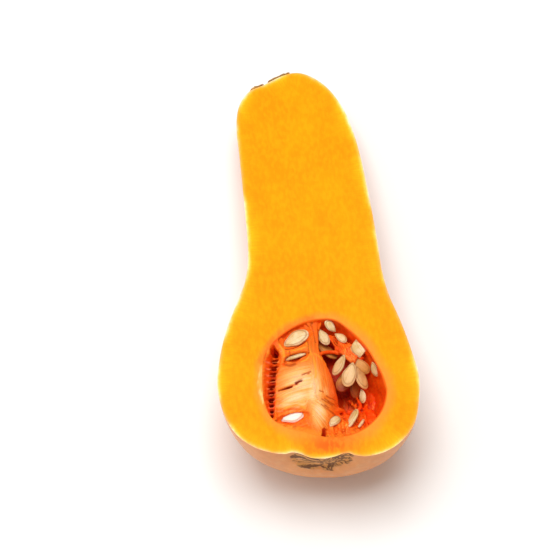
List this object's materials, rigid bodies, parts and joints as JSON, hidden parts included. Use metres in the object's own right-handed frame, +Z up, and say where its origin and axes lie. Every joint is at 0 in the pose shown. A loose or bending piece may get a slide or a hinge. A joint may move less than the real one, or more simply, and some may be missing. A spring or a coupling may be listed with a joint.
{
  "type": "butternut squash half",
  "caption": "Butternut squash cut in half lengthwise, lying cut face up, with a hollow of stringy pulp and flat pale seeds in its bulb.",
  "frame": {"origin": "under the middle of the overall box, on the surface that the half lies on", "axes": "+X across the cut face, +Y from the blossom end to the stem end, +Z up"},
  "size_m": [0.1054, 0.2494, 0.0575],
  "materials": {
    "flesh_and_rind": "moist golden orange flesh inside a smooth waxy tan rind",
    "pulp": "wet stringy orange pulp",
    "seed_coat": "smooth cream seed coat, slightly wet",
    "stem_cork": "dry brown corky crust"
  },
  "bodies": {
    "root": {"squash_half": "flesh_and_rind", "seed_pulp": "pulp", "stem_scar": "stem_cork", "seed_01": "seed_coat", "seed_02": "seed_coat", "seed_03": "seed_coat", "seed_04": "seed_coat", "seed_05": "seed_coat", "seed_06": "seed_coat", "seed_07": "seed_coat", "seed_08": "seed_coat", "seed_09": "seed_coat", "seed_10": "seed_coat", "seed_11": "seed_coat", "seed_12": "seed_coat", "seed_13": "seed_coat", "seed_14": "seed_coat", "seed_15": "seed_coat", "seed_16": "seed_coat", "seed_17": "seed_coat", "seed_18": "seed_coat", "seed_19": "seed_coat"}
  },
  "joints": []
}
